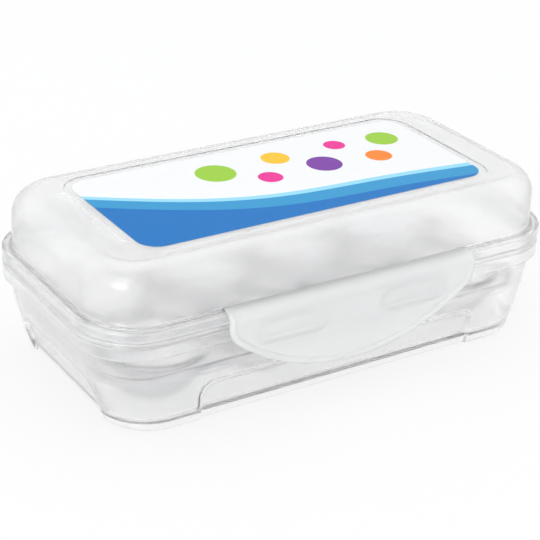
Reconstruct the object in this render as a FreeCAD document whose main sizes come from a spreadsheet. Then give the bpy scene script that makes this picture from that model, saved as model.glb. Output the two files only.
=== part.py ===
import FreeCAD, Part
import math
import os
import Sketcher

# Egg case: a clear tub with a lift-out tray of eight cups, a hinged lid with a label panel,
# and a wide D-shaped clip that hooks under the rim of the tub.
# Millimetres. X runs along the length, -Y is the clip side, Z = 0 is the table under the feet.

os.makedirs("parts", exist_ok=True)
doc = FreeCAD.newDocument("egg_case")
sheet = doc.addObject("Spreadsheet::Sheet", "Dims")

DIMENSIONS = [
    # Outline shared by the tub's rim and the lid's skirt
    ("rim_length", 226.0),
    ("rim_width", 114.0),
    ("rim_corner", 26.4),
    ("total_height", 73.4),
    ("parting_height", 43.0),
    ("parting_gap", 0.3),
    ("wall", 1.4),
    # Tub wall, as insets from the rim outline at the foot, the belly and the neck
    ("foot_end_inset", 11.0),
    ("foot_side_inset", 4.4),
    ("foot_corner", 22.0),
    ("belly_height", 21.5),
    ("belly_end_inset", 5.4),
    ("belly_side_inset", 2.7),
    ("belly_corner", 24.2),
    ("neck_end_inset", 2.7),
    ("neck_side_inset", 2.8),
    ("neck_corner", 23.8),
    ("foot_round", 3.4),
    ("round_share", 0.2929),
    ("foot_rise", 0.6),
    ("floor_top", 5.0),
    ("floor_thickness", 1.6),
    ("foot_ring", 1.6),
    ("floor_round", 3.0),
    ("band_height", 6.6),
    ("band_round", 0.5),
    # Sunken panels between the four feet
    ("panel_depth", 1.8),
    ("side_panel_length", 136.0),
    ("side_panel_height", 18.2),
    ("side_panel_corner", 8.0),
    ("end_panel_width", 66.0),
    ("end_panel_height", 19.0),
    ("end_panel_corner", 10.0),
    ("panel_foot_round", 1.6),
    # Lid
    ("lid_inset", 3.5),
    ("lid_draft_angle", 1.0),
    ("lid_corner", 24.6),
    ("shoulder_round", 10.0),
    ("skirt_height", 6.1),
    ("skirt_round", 1.0),
    ("lip_drop", 2.5),
    ("lip_rise", 3.5),
    ("lip_inset", 4.65),
    ("lip_wall", 1.2),
    ("label_length", 167.6),
    ("label_width", 72.0),
    ("label_corner", 9.0),
    ("label_thickness", 0.2),
    ("label_border", 3.4),
    ("label_panel_depth", 0.4),
    # Rear hinge: pins on the tub, open barrels on the lid
    ("hinge_axis_out", 2.6),
    ("hinge_axis_rise", 0.15),
    ("hinge_spread", 52.0),
    ("hinge_barrel_length", 20.0),
    ("hinge_ear", 3.0),
    ("hinge_side_gap", 0.3),
    ("hinge_pin_radius", 1.2),
    ("hinge_fit", 0.05),
    ("hinge_outer_radius", 2.3),
    ("hinge_mouth", 1.9),
    # Clip: a D-shaped plate that rolls over the skirt to a thin edge beside the lid's wall
    ("clip_half_width", 60.0),
    ("clip_plate", 1.4),
    ("clip_plane_out", 3.4),
    ("clip_bottom_height", 16.6),
    ("clip_arc", 89.0),
    ("clip_corner", 10.0),
    ("clip_bead", 1.5),
    ("clip_bead_inset", 1.1),
    ("clip_axis_in", 2.5),
    ("clip_web", 1.0),
    ("clip_skirt_gap", 0.35),
    ("clip_roll", 5.0),
    ("clip_roll_inside", 3.2),
    ("clip_fit", 0.05),
    ("clip_seat_rise", 0.7),
    ("hook_inner", 14.0),
    ("hook_outer", 46.0),
    ("hook_pad_top", 0.6),
    ("hook_band_gap", 0.4),
    ("hook_height", 2.9),
    ("hook_reach", 1.6),
    # Tray
    ("tray_end_inset", 9.0),
    ("tray_side_inset", 7.6),
    ("tray_corner", 20.0),
    ("tray_top", 25.0),
    ("tray_plate", 1.4),
    ("tray_skirt_bottom", 20.0),
    ("tray_skirt_wall", 1.2),
    # Cups in a grid of equal cells on the tray, as wide as the smaller side of a cell allows
    ("tray_end_margin", 4.0),
    ("tray_side_margin", 1.4),
    ("cup_gap", 0.8),
    ("cup_wall", 1.2),
    ("cup_taper", 10.5),
    ("cup_arc", 26.0),
    ("cup_lip", 1.1),
    ("cup_lip_height", 1.0),
    ("cup_fit", 0.1),
]
COLUMN_COUNT = 4
ROW_COUNT = 2

for row, (alias, value) in enumerate(DIMENSIONS, start=1):
    sheet.set("A%d" % row, alias)
    sheet.set("B%d" % row, str(value))
    sheet.setAlias("B%d" % row, alias)
doc.recompute()


class Size:
    """A length with its formula, so a sketch starts at the size that its constraints hold."""

    def __init__(self, text, value):
        self.text = text
        self.value = value

    def combine(self, sign, other, value):
        text = other.text if isinstance(other, Size) else repr(other)
        return Size("(%s %s %s)" % (self.text, sign, text), value)

    def __add__(self, other):
        return self.combine("+", other, self.value + number(other))

    def __sub__(self, other):
        return self.combine("-", other, self.value - number(other))

    def __mul__(self, factor):
        return self.combine("*", factor, self.value * number(factor))

    def __truediv__(self, divisor):
        return self.combine("/", divisor, self.value / number(divisor))

    def __neg__(self):
        return Size("(-%s)" % self.text, -self.value)


def number(item):
    return item.value if isinstance(item, Size) else item


def dim(alias):
    return Size("Dims." + alias, float(sheet.get(alias)))


def smaller(first, second):
    return Size("min(%s; %s)" % (first.text, second.text), min(first.value, second.value))


def bind(item, name, size):
    item.setExpression(name, size.text)


def origin_plane(body, role):
    for feature in body.Origin.OriginFeatures:
        if feature.Role == role:
            return feature
    raise ValueError(role)


def new_body(name):
    return doc.addObject("PartDesign::Body", name)


def new_sketch(body, name, role, height=None):
    """A sketch on one of the body's own planes, raised along the plane's normal."""
    sketch = body.newObject("Sketcher::SketchObject", name)
    sketch.AttachmentSupport = [(origin_plane(body, role), "")]
    sketch.MapMode = "FlatFace"
    if height is not None:
        bind(sketch, "AttachmentOffset.Base.z", height)
    return sketch


def constrain(sketch, size, *items):
    """Adds a driving constraint held to a formula."""
    index = sketch.addConstraint(Sketcher.Constraint(*items, size.value))
    sketch.setExpression("Constraints[%d]" % index, size.text)


def point(first, second):
    return FreeCAD.Vector(first, second, 0)


def arc(centre, radius, start, end):
    circle = Part.Circle(centre, FreeCAD.Vector(0, 0, 1), radius)
    return Part.ArcOfCircle(circle, start, end)


def rounded_rectangle(sketch, length, width, corner):
    """A centred rectangle with four equal rounded corners."""
    half_length = length / 2
    half_width = width / 2
    x = half_length.value
    y = half_width.value
    r = corner.value
    turn = math.pi / 2
    first = sketch.GeometryCount
    sketch.addGeometry(Part.LineSegment(point(r - x, -y), point(x - r, -y)))
    sketch.addGeometry(arc(point(x - r, r - y), r, 3 * turn, 4 * turn))
    sketch.addGeometry(Part.LineSegment(point(x, r - y), point(x, y - r)))
    sketch.addGeometry(arc(point(x - r, y - r), r, 0, turn))
    sketch.addGeometry(Part.LineSegment(point(x - r, y), point(r - x, y)))
    sketch.addGeometry(arc(point(r - x, y - r), r, turn, 2 * turn))
    sketch.addGeometry(Part.LineSegment(point(-x, y - r), point(-x, r - y)))
    sketch.addGeometry(arc(point(r - x, r - y), r, 2 * turn, 3 * turn))
    for step in range(8):
        here = first + step
        after = first + (step + 1) % 8
        sketch.addConstraint(Sketcher.Constraint("Tangent", here, 2, after, 1))
    sketch.addConstraint(Sketcher.Constraint("Horizontal", first))
    sketch.addConstraint(Sketcher.Constraint("Vertical", first + 2))
    sketch.addConstraint(Sketcher.Constraint("Horizontal", first + 4))
    sketch.addConstraint(Sketcher.Constraint("Vertical", first + 6))
    for step in (3, 5, 7):
        sketch.addConstraint(Sketcher.Constraint("Equal", first + 1, first + step))
    sketch.addConstraint(Sketcher.Constraint("Symmetric", first + 1, 3, first + 5, 3, -1, 1))
    constrain(sketch, corner, "Radius", first + 1)
    constrain(sketch, half_length, "DistanceX", -1, 1, first + 2, 1)
    constrain(sketch, half_width, "DistanceY", -1, 1, first + 4, 1)


def polygon(sketch, corners):
    """A closed outline through corners given as pairs of sizes."""
    count = len(corners)
    for step in range(count):
        here = corners[step]
        after = corners[(step + 1) % count]
        start = point(here[0].value, here[1].value)
        end = point(after[0].value, after[1].value)
        sketch.addGeometry(Part.LineSegment(start, end))
    for step in range(count):
        sketch.addConstraint(Sketcher.Constraint("Coincident", step, 2, (step + 1) % count, 1))
    for step, corner in enumerate(corners):
        constrain(sketch, corner[0], "DistanceX", -1, 1, step, 1)
        constrain(sketch, corner[1], "DistanceY", -1, 1, step, 1)


def pad(body, sketch, length, symmetric=False, backwards=False):
    feature = body.newObject("PartDesign::Pad", sketch.Name + "_pad")
    feature.Profile = sketch
    feature.Reversed = backwards
    if symmetric:
        feature.SideType = "Symmetric"
    bind(feature, "Length", length)
    return feature


def pocket(body, sketch, length, backwards=False):
    """A pocket that must really remove something."""
    doc.recompute()
    before = body.Shape.Volume
    feature = body.newObject("PartDesign::Pocket", sketch.Name + "_pocket")
    feature.Profile = sketch
    feature.Reversed = backwards
    bind(feature, "Length", length)
    doc.recompute()
    if body.Shape.Volume >= before:
        raise ValueError(sketch.Name + " removes nothing")
    return feature


def edges_at(shape, height):
    """Names of the edges that lie in the level plane at this height."""
    names = []
    for index, edge in enumerate(shape.Edges, start=1):
        box = edge.BoundBox
        if abs(box.ZMin - height.value) < 1e-4 and abs(box.ZMax - height.value) < 1e-4:
            names.append("Edge%d" % index)
    return names


def round_edges(body, height, radius):
    """Rounds the body's edges at one height."""
    doc.recompute()
    base = body.Tip
    feature = body.newObject("PartDesign::Fillet", body.Name + "_round")
    feature.Base = (base, edges_at(base.Shape, height))
    bind(feature, "Radius", radius)
    doc.recompute()
    return feature


def box(name, corner, sides):
    item = doc.addObject("Part::Box", name)
    for key, size in zip(("Length", "Width", "Height"), sides):
        bind(item, key, size)
    for key, size in zip("xyz", corner):
        bind(item, "Placement.Base." + key, size)
    return item


def cylinder(name, direction, start, radius, length):
    """A round bar from a start point along a world direction."""
    item = doc.addObject("Part::Cylinder", name)
    turn = FreeCAD.Rotation(FreeCAD.Vector(0, 0, 1), direction)
    item.Placement = FreeCAD.Placement(FreeCAD.Vector(0, 0, 0), turn)
    bind(item, "Radius", radius)
    bind(item, "Height", length)
    for key, size in zip("xyz", start):
        bind(item, "Placement.Base." + key, size)
    return item


def cut(name, base, tool):
    item = doc.addObject("Part::Cut", name)
    item.Base = base
    item.Tool = tool
    return item


def fuse(name, items):
    item = doc.addObject("Part::MultiFuse", name)
    item.Shapes = items
    return item


ALONG_X = FreeCAD.Vector(1, 0, 0)

rim_length = dim("rim_length")
rim_width = dim("rim_width")
wall = dim("wall")
parting = dim("parting_height")
half_width = rim_width / 2
no_inset = wall - wall


def tub_loft(name, inset, bottom, round_radius):
    """The tub's bowed wall, moved in by a distance, over a bottom edge rounded to a radius."""
    body = new_body(name)
    turn = round_radius * dim("round_share")
    rise = bottom + round_radius - dim("foot_round")
    rise_share = rise / (dim("belly_height") - dim("foot_round"))
    shrink = inset + (dim("belly_side_inset") - dim("foot_side_inset")) * rise_share
    stretch = (dim("belly_end_inset") - dim("foot_end_inset")) * rise_share + inset
    levels = (
        ("bottom", "foot", stretch + round_radius, shrink + round_radius, bottom),
        ("turn", "foot", stretch + turn, shrink + turn, bottom + turn),
        ("foot", "foot", stretch, shrink, bottom + round_radius),
        ("belly", "belly", inset, inset, dim("belly_height")),
        ("neck", "neck", inset, inset, parting),
    )
    sketches = []
    for level, place, end_extra, side_extra, height in levels:
        sketch = new_sketch(body, name + "_" + level, "XY_Plane", height)
        length = rim_length - (dim(place + "_end_inset") + end_extra) * 2
        width = rim_width - (dim(place + "_side_inset") + side_extra) * 2
        rounded_rectangle(sketch, length, width, dim(place + "_corner") - side_extra)
        sketches.append(sketch)
    for part_name, sections in (("edge", sketches[:3]), ("wall", sketches[2:])):
        loft = body.newObject("PartDesign::AdditiveLoft", name + "_" + part_name)
        loft.Profile = sections[0]
        loft.Sections = sections[1:]
    doc.recompute()
    return body


def panel_prism(name, role, length, height, corner, span):
    """A level bar with a rounded outline, reaching as far below the table as above it."""
    body = new_body(name)
    sketch = new_sketch(body, name + "_outline", role)
    rounded_rectangle(sketch, length, height * 2, corner)
    pad(body, sketch, span, symmetric=True)
    return body


# Tub: outer form, rounded under the feet
outer = tub_loft("tub_outer", no_inset, no_inset, dim("foot_round"))

# Rim turned down outside the wall
cap = new_body("tub_rim")
band_bottom = parting - dim("band_height")
cap_outline = new_sketch(cap, "tub_rim_outline", "XY_Plane", band_bottom)
rounded_rectangle(cap_outline, rim_length, rim_width, dim("rim_corner"))
pad(cap, cap_outline, dim("band_height"))
round_edges(cap, band_bottom, dim("band_round"))
round_edges(cap, parting, dim("band_round"))
cap_hollow = new_sketch(cap, "tub_rim_hollow", "XY_Plane", band_bottom)
rounded_rectangle(cap_hollow, rim_length - wall * 2, rim_width - wall * 2, dim("rim_corner") - wall)
pocket(cap, cap_hollow, dim("band_height") - wall, backwards=True)

# Sunken panels along both sides and both ends
panel_core = tub_loft("panel_core", dim("panel_depth"), dim("foot_rise"), dim("panel_foot_round"))
side_bar = panel_prism(
    "side_bar", "XZ_Plane", dim("side_panel_length"), dim("side_panel_height"),
    dim("side_panel_corner"), rim_width)
end_bar = panel_prism(
    "end_bar", "YZ_Plane", dim("end_panel_width"), dim("end_panel_height"),
    dim("end_panel_corner"), rim_length)
bars = fuse("panel_bars", [side_bar, end_bar])
panels = cut("panels", bars, panel_core)

# Hollow of the tub, which keeps the wall's thickness behind the panels
hollow = tub_loft("tub_hollow", wall, dim("floor_top"), dim("floor_round"))
hollow_core = tub_loft(
    "hollow_core", dim("panel_depth") + wall, dim("foot_rise"), dim("panel_foot_round"))
side_bar_back = panel_prism(
    "side_bar_back", "XZ_Plane", dim("side_panel_length") + wall * 2,
    dim("side_panel_height") + wall, dim("side_panel_corner") + wall, rim_width)
end_bar_back = panel_prism(
    "end_bar_back", "YZ_Plane", dim("end_panel_width") + wall * 2,
    dim("end_panel_height") + wall, dim("end_panel_corner") + wall, rim_length)
bars_back = fuse("panel_bars_back", [side_bar_back, end_bar_back])
panel_backs = cut("panel_backs", bars_back, hollow_core)
tub_space = cut("tub_space", hollow, panel_backs)
tub_solid = fuse("tub_solid", [outer, cap])
tub_panelled = cut("tub_panelled", tub_solid, panels)
tub_hollowed = cut("tub_hollowed", tub_panelled, tub_space)

# Hollow under the raised floor, inside the ring that the feet stand on
under = new_body("under_space")
under_sketch = new_sketch(under, "under_space_outline", "XY_Plane")
ring = dim("foot_round") + dim("foot_ring")
rounded_rectangle(
    under_sketch, rim_length - (dim("foot_end_inset") + ring) * 2,
    rim_width - (dim("foot_side_inset") + ring) * 2, dim("foot_corner") - ring)
pad(under, under_sketch, dim("floor_top") - dim("floor_thickness"))
tub_open = cut("tub_open", tub_hollowed, under)

# Hinge ears and pins behind the tub's rim
hinge_y = half_width + dim("hinge_axis_out")
hinge_z = parting + dim("hinge_axis_rise")
hinge_radius = dim("hinge_outer_radius")
barrel_half = dim("hinge_barrel_length") / 2
ear = dim("hinge_ear")
tub_pieces = [tub_open]
for side, sign in (("left", -1), ("right", 1)):
    centre = dim("hinge_spread") * sign
    for place, start in (("outer", centre - barrel_half - ear), ("inner", centre + barrel_half)):
        name = "ear_%s_%s" % (side, place)
        tub_pieces.append(
            cylinder(name + "_eye", ALONG_X, (start, hinge_y, hinge_z), hinge_radius, ear))
        tub_pieces.append(box(
            name + "_web", (start, half_width - wall / 2, hinge_z - hinge_radius),
            (ear, dim("hinge_axis_out") + wall / 2, hinge_radius - dim("hinge_axis_rise"))))
    tub_pieces.append(cylinder(
        "pin_" + side, ALONG_X, (centre - barrel_half - ear / 2, hinge_y, hinge_z),
        dim("hinge_pin_radius"), barrel_half * 2 + ear))
base_tub = fuse("base_tub", tub_pieces)

# Lid: tall wall with a broad rounded shoulder
lid_bottom = parting + dim("parting_gap")
total_height = dim("total_height")


def lid_block(name, inset, top, radius):
    """A block with a slight draft and a broad rounded top edge."""
    body = new_body(name)
    sketch = new_sketch(body, name + "_outline", "XY_Plane", lid_bottom)
    reach = (dim("lid_inset") + inset) * 2
    rounded_rectangle(sketch, rim_length - reach, rim_width - reach, dim("lid_corner") - inset)
    block = pad(body, sketch, top - lid_bottom)
    bind(block, "TaperAngle", -dim("lid_draft_angle"))
    round_edges(body, top, radius)
    return body


lid_outer = lid_block("lid_outer", no_inset, total_height, dim("shoulder_round"))
lid_hollow = lid_block("lid_hollow", wall, total_height - wall, dim("shoulder_round") - wall)

# Skirt turned down outside the lid's wall
skirt = new_body("lid_skirt")
skirt_top = lid_bottom + dim("skirt_height")
skirt_outline = new_sketch(skirt, "lid_skirt_outline", "XY_Plane", lid_bottom)
rounded_rectangle(skirt_outline, rim_length, rim_width, dim("rim_corner"))
pad(skirt, skirt_outline, dim("skirt_height"))
round_edges(skirt, skirt_top, dim("skirt_round"))
skirt_hollow = new_sketch(skirt, "lid_skirt_hollow", "XY_Plane", lid_bottom)
rounded_rectangle(skirt_hollow, rim_length - wall * 2, rim_width - wall * 2, dim("rim_corner") - wall)
pocket(skirt, skirt_hollow, dim("skirt_height") - wall, backwards=True)

# Lip that drops inside the tub's rim
lip = new_body("lid_lip")
lip_bottom = lid_bottom - dim("lip_drop")
lip_outline = new_sketch(lip, "lid_lip_outline", "XY_Plane", lip_bottom)
for inset in (dim("lip_inset"), dim("lip_inset") + dim("lip_wall")):
    rounded_rectangle(
        lip_outline, rim_length - inset * 2, rim_width - inset * 2, dim("rim_corner") - inset)
pad(lip, lip_outline, dim("lip_drop") + dim("lip_rise"))

# Seat on the lid's wall for the clip's thin edge, which turns in it
clip_y = -(half_width - dim("clip_axis_in"))
clip_web = dim("clip_web")
clip_z = skirt_top + dim("clip_skirt_gap") + clip_web / 2
clip_half = dim("clip_half_width")
seat_y = -(half_width - dim("lid_inset") - wall / 2)
seat_bar = box(
    "clip_seat_bar", (-clip_half, clip_y, skirt_top - wall / 2),
    (clip_half * 2, seat_y - clip_y, dim("clip_seat_rise") + wall / 2))
seat_groove = cylinder(
    "clip_seat_groove", ALONG_X, (-clip_half, clip_y, clip_z),
    clip_web / 2 + dim("clip_fit"), clip_half * 2)
seat = cut("clip_seat", seat_bar, seat_groove)
lid_wall_solid = fuse("lid_wall_solid", [lid_outer, skirt, seat])
lid_walls = cut("lid_walls", lid_wall_solid, lid_hollow)

# Shallow panel for the label
panel = new_body("label_panel")
panel_sketch = new_sketch(panel, "label_panel_outline", "XY_Plane", total_height - dim("label_panel_depth"))
border = dim("label_border")
rounded_rectangle(
    panel_sketch, dim("label_length") + border * 2, dim("label_width") + border * 2,
    dim("label_corner") + border)
pad(panel, panel_sketch, dim("label_panel_depth") * 2)
lid_panelled = cut("lid_panelled", lid_walls, panel)

# Barrels that snap over the tub's hinge pins
lid_pieces = [lid_panelled, lip]
barrel_length = barrel_half * 2 - dim("hinge_side_gap") * 2
for side, sign in (("left", -1), ("right", 1)):
    start = dim("hinge_spread") * sign - barrel_length / 2
    eye = cylinder("barrel_%s_eye" % side, ALONG_X, (start, hinge_y, hinge_z), hinge_radius, barrel_length)
    arm = box(
        "barrel_%s_arm" % side, (start, half_width - wall / 2, lid_bottom + dim("parting_gap")),
        (barrel_length, dim("hinge_axis_out") + wall / 2, hinge_radius - dim("parting_gap") * 2))
    whole = fuse("barrel_%s_whole" % side, [eye, arm])
    bore = cylinder(
        "barrel_%s_bore" % side, ALONG_X, (start, hinge_y, hinge_z),
        dim("hinge_pin_radius") + dim("hinge_fit"), barrel_length)
    gate = box(
        "barrel_%s_gate" % side,
        (start, hinge_y - dim("hinge_mouth") / 2, hinge_z - hinge_radius * 2),
        (barrel_length, dim("hinge_mouth"), hinge_radius * 2))
    bored = cut("barrel_%s_bored" % side, whole, bore)
    lid_pieces.append(cut("barrel_%s" % side, bored, gate))
lid_shell = fuse("lid_shell", lid_pieces)

# Label film in the lid's panel
label = new_body("top_label")
label_sketch = new_sketch(label, "top_label_outline", "XY_Plane", total_height - dim("label_panel_depth"))
rounded_rectangle(label_sketch, dim("label_length"), dim("label_width"), dim("label_corner"))
pad(label, label_sketch, dim("label_thickness"))


# Clip: a D-shaped plate with a round bead along its curved edge
def clip_outline(sketch, inset, top, closed):
    side = clip_half - inset
    corner = dim("clip_corner") - inset
    radius = dim("clip_arc") - inset
    centre = dim("clip_bottom_height") + dim("clip_arc")
    x = side.value
    r = corner.value
    lift = math.sqrt((radius.value - r) ** 2 - (x - r) ** 2)
    shoulder = centre.value - lift
    lean = math.atan2(x - r, lift)
    down = 1.5 * math.pi
    sketch.addGeometry(Part.LineSegment(point(-x, top.value), point(-x, shoulder)))
    sketch.addGeometry(arc(point(r - x, shoulder), r, math.pi, down - lean))
    sketch.addGeometry(arc(point(0, centre.value), radius.value, down - lean, down + lean))
    sketch.addGeometry(arc(point(x - r, shoulder), r, down + lean, 2 * math.pi))
    sketch.addGeometry(Part.LineSegment(point(x, shoulder), point(x, top.value)))
    for step in range(4):
        sketch.addConstraint(Sketcher.Constraint("Tangent", step, 2, step + 1, 1))
    sketch.addConstraint(Sketcher.Constraint("Vertical", 0))
    sketch.addConstraint(Sketcher.Constraint("Vertical", 4))
    sketch.addConstraint(Sketcher.Constraint("Equal", 1, 3))
    sketch.addConstraint(Sketcher.Constraint("PointOnObject", 2, 3, -2))
    constrain(sketch, corner, "Radius", 1)
    constrain(sketch, radius, "Radius", 2)
    constrain(sketch, centre, "DistanceY", -1, 1, 2, 3)
    constrain(sketch, side, "DistanceX", -1, 1, 4, 2)
    constrain(sketch, side, "DistanceX", 0, 1, -1, 1)
    constrain(sketch, top, "DistanceY", -1, 1, 4, 2)
    if closed:
        sketch.addGeometry(Part.LineSegment(point(x, top.value), point(-x, top.value)))
        sketch.addConstraint(Sketcher.Constraint("Coincident", 4, 2, 5, 1))
        sketch.addConstraint(Sketcher.Constraint("Coincident", 5, 2, 0, 1))
        sketch.addConstraint(Sketcher.Constraint("Horizontal", 5))
    else:
        constrain(sketch, top, "DistanceY", -1, 1, 0, 1)


plate_out = half_width + dim("clip_plane_out")
plate_front_y = -(plate_out + dim("clip_plate") / 2)
plate_back_y = -(plate_out - dim("clip_plate") / 2)
roll = dim("clip_roll")
roll_inside = dim("clip_roll_inside")
plate_top = clip_z + clip_web / 2 - roll
flap = new_body("clip_flap")
flap_outline = new_sketch(flap, "clip_flap_outline", "XZ_Plane", plate_out)
clip_outline(flap_outline, no_inset, plate_top, True)
pad(flap, flap_outline, dim("clip_plate"), symmetric=True)
bead_path = new_sketch(flap, "clip_bead_path", "XZ_Plane", plate_out)
clip_outline(bead_path, dim("clip_bead_inset"), plate_top, False)
bead_round = new_sketch(flap, "clip_bead_round", "XY_Plane", plate_top)
bead_start = point(dim("clip_bead_inset").value - clip_half.value, -plate_out.value)
bead_round.addGeometry(
    Part.Circle(bead_start, FreeCAD.Vector(0, 0, 1), dim("clip_bead").value))
constrain(bead_round, dim("clip_bead"), "Radius", 0)
constrain(bead_round, dim("clip_bead_inset") - clip_half, "DistanceX", -1, 1, 0, 3)
constrain(bead_round, -plate_out, "DistanceY", -1, 1, 0, 3)
bead = flap.newObject("PartDesign::AdditivePipe", "clip_bead_pipe")
bead.Profile = bead_round
bead.Spine = (bead_path, [])
doc.recompute()

# Section of the rolled top of the clip, from its front face round to the thin edge
rolled = new_body("clip_rolled_top")
section = new_sketch(rolled, "clip_rolled_section", "YZ_Plane")
quarter = math.pi / 2
outside_centre = point(plate_front_y.value + roll.value, plate_top.value)
inside_centre = point(
    plate_back_y.value + roll_inside.value, clip_z.value - clip_web.value / 2 - roll_inside.value)
edge_centre = point(clip_y.value, clip_z.value)
edge_top = point(clip_y.value, clip_z.value + clip_web.value / 2)
edge_under = point(clip_y.value, clip_z.value - clip_web.value / 2)
outside_top = outside_centre + point(0, roll.value)
inside_top = inside_centre + point(0, roll_inside.value)
front_corner = point(plate_front_y.value, plate_top.value)
back_corner = point(plate_back_y.value, plate_top.value)
inside_end = inside_centre - point(roll_inside.value, 0)
section.addGeometry(Part.LineSegment(edge_top, outside_top))
section.addGeometry(arc(outside_centre, roll.value, quarter, 2 * quarter))
section.addGeometry(Part.LineSegment(front_corner, back_corner))
section.addGeometry(Part.LineSegment(back_corner, inside_end))
section.addGeometry(arc(inside_centre, roll_inside.value, quarter, 2 * quarter))
section.addGeometry(Part.LineSegment(inside_top, edge_under))
section.addGeometry(arc(edge_centre, clip_web.value / 2, -quarter, quarter))
section.addConstraint(Sketcher.Constraint("Tangent", 0, 2, 1, 1))
section.addConstraint(Sketcher.Constraint("Coincident", 1, 2, 2, 1))
section.addConstraint(Sketcher.Constraint("Coincident", 2, 2, 3, 1))
section.addConstraint(Sketcher.Constraint("Tangent", 3, 2, 4, 2))
section.addConstraint(Sketcher.Constraint("Tangent", 4, 1, 5, 1))
section.addConstraint(Sketcher.Constraint("Tangent", 5, 2, 6, 1))
section.addConstraint(Sketcher.Constraint("Tangent", 6, 2, 0, 1))
section.addConstraint(Sketcher.Constraint("Horizontal", 2))
section.addConstraint(Sketcher.Constraint("Vertical", 3))
constrain(section, roll, "Radius", 1)
constrain(section, plate_front_y + roll, "DistanceX", -1, 1, 1, 3)
constrain(section, plate_top, "DistanceY", -1, 1, 1, 3)
constrain(section, plate_top, "DistanceY", -1, 1, 1, 2)
constrain(section, roll_inside, "Radius", 4)
constrain(section, plate_back_y + roll_inside, "DistanceX", -1, 1, 4, 3)
constrain(section, clip_z - clip_web / 2 - roll_inside, "DistanceY", -1, 1, 4, 3)
constrain(section, clip_web / 2, "Radius", 6)
constrain(section, clip_y, "DistanceX", -1, 1, 6, 3)
constrain(section, clip_z, "DistanceY", -1, 1, 6, 3)
pad(rolled, section, clip_half * 2, symmetric=True)
clip_pieces = [flap, rolled]

# Hook pads behind the plate, each with a nose under the tub's rim
hook_top = band_bottom - dim("hook_band_gap")
pad_top = parting - dim("hook_pad_top")
pad_inner_y = -(half_width + dim("hook_band_gap"))
hook_length = dim("hook_outer") - dim("hook_inner")
for side, start in (("left", -dim("hook_outer")), ("right", dim("hook_inner"))):
    base_y = -plate_out
    clip_pieces.append(box(
        "hook_pad_" + side, (start, base_y, hook_top - dim("hook_height")),
        (hook_length, pad_inner_y - base_y, pad_top - hook_top + dim("hook_height"))))
    clip_pieces.append(box(
        "hook_nose_" + side, (start, base_y, hook_top - dim("hook_height")),
        (hook_length, dim("hook_reach") - half_width - base_y, dim("hook_height"))))
front_clip = fuse("front_clip", clip_pieces)

# Tray: plate with eight holes over a hanging skirt
tray = new_body("egg_tray")
tray_length = rim_length - dim("tray_end_inset") * 2
tray_width = rim_width - dim("tray_side_inset") * 2
tray_top = dim("tray_top")
tray_outline = new_sketch(tray, "tray_outline", "XY_Plane", tray_top - dim("tray_plate"))
rounded_rectangle(tray_outline, tray_length, tray_width, dim("tray_corner"))
pad(tray, tray_outline, dim("tray_plate"))
tray_skirt = new_sketch(tray, "tray_skirt", "XY_Plane", dim("tray_skirt_bottom"))
skirt_wall = dim("tray_skirt_wall")
rounded_rectangle(tray_skirt, tray_length, tray_width, dim("tray_corner"))
rounded_rectangle(
    tray_skirt, tray_length - skirt_wall * 2, tray_width - skirt_wall * 2,
    dim("tray_corner") - skirt_wall)
pad(tray, tray_skirt, tray_top - dim("tray_skirt_bottom"))
hole = new_sketch(tray, "tray_hole", "XY_Plane", tray_top)
cell_length = (tray_length - dim("tray_end_margin") * 2) / COLUMN_COUNT
cell_width = (tray_width - dim("tray_side_margin") * 2) / ROW_COUNT
column_span = cell_length * (COLUMN_COUNT - 1)
row_span = cell_width * (ROW_COUNT - 1)
first_x = -(column_span / 2)
first_y = -(row_span / 2)
cup_lip_radius = (smaller(cell_length, cell_width) - dim("cup_gap")) / 2
cup_top_radius = cup_lip_radius - dim("cup_lip")
cup_bottom_radius = cup_top_radius - dim("cup_taper")
hole_radius = cup_top_radius + dim("cup_fit")
hole.addGeometry(Part.Circle(
    point(first_x.value, first_y.value), FreeCAD.Vector(0, 0, 1), hole_radius.value))
constrain(hole, hole_radius, "Radius", 0)
constrain(hole, first_x, "DistanceX", -1, 1, 0, 3)
constrain(hole, first_y, "DistanceY", -1, 1, 0, 3)
hole_cut = pocket(tray, hole, dim("tray_plate"))
grid = tray.newObject("PartDesign::LinearPattern", "tray_hole_grid")
grid.Originals = [hole_cut]
grid.Direction = (hole, ["H_Axis"])
grid.Occurrences = COLUMN_COUNT
bind(grid, "Length", column_span)
grid.Direction2 = (hole, ["V_Axis"])
grid.Occurrences2 = ROW_COUNT
bind(grid, "Length2", row_span)
tray.Tip = grid
doc.recompute()


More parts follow.
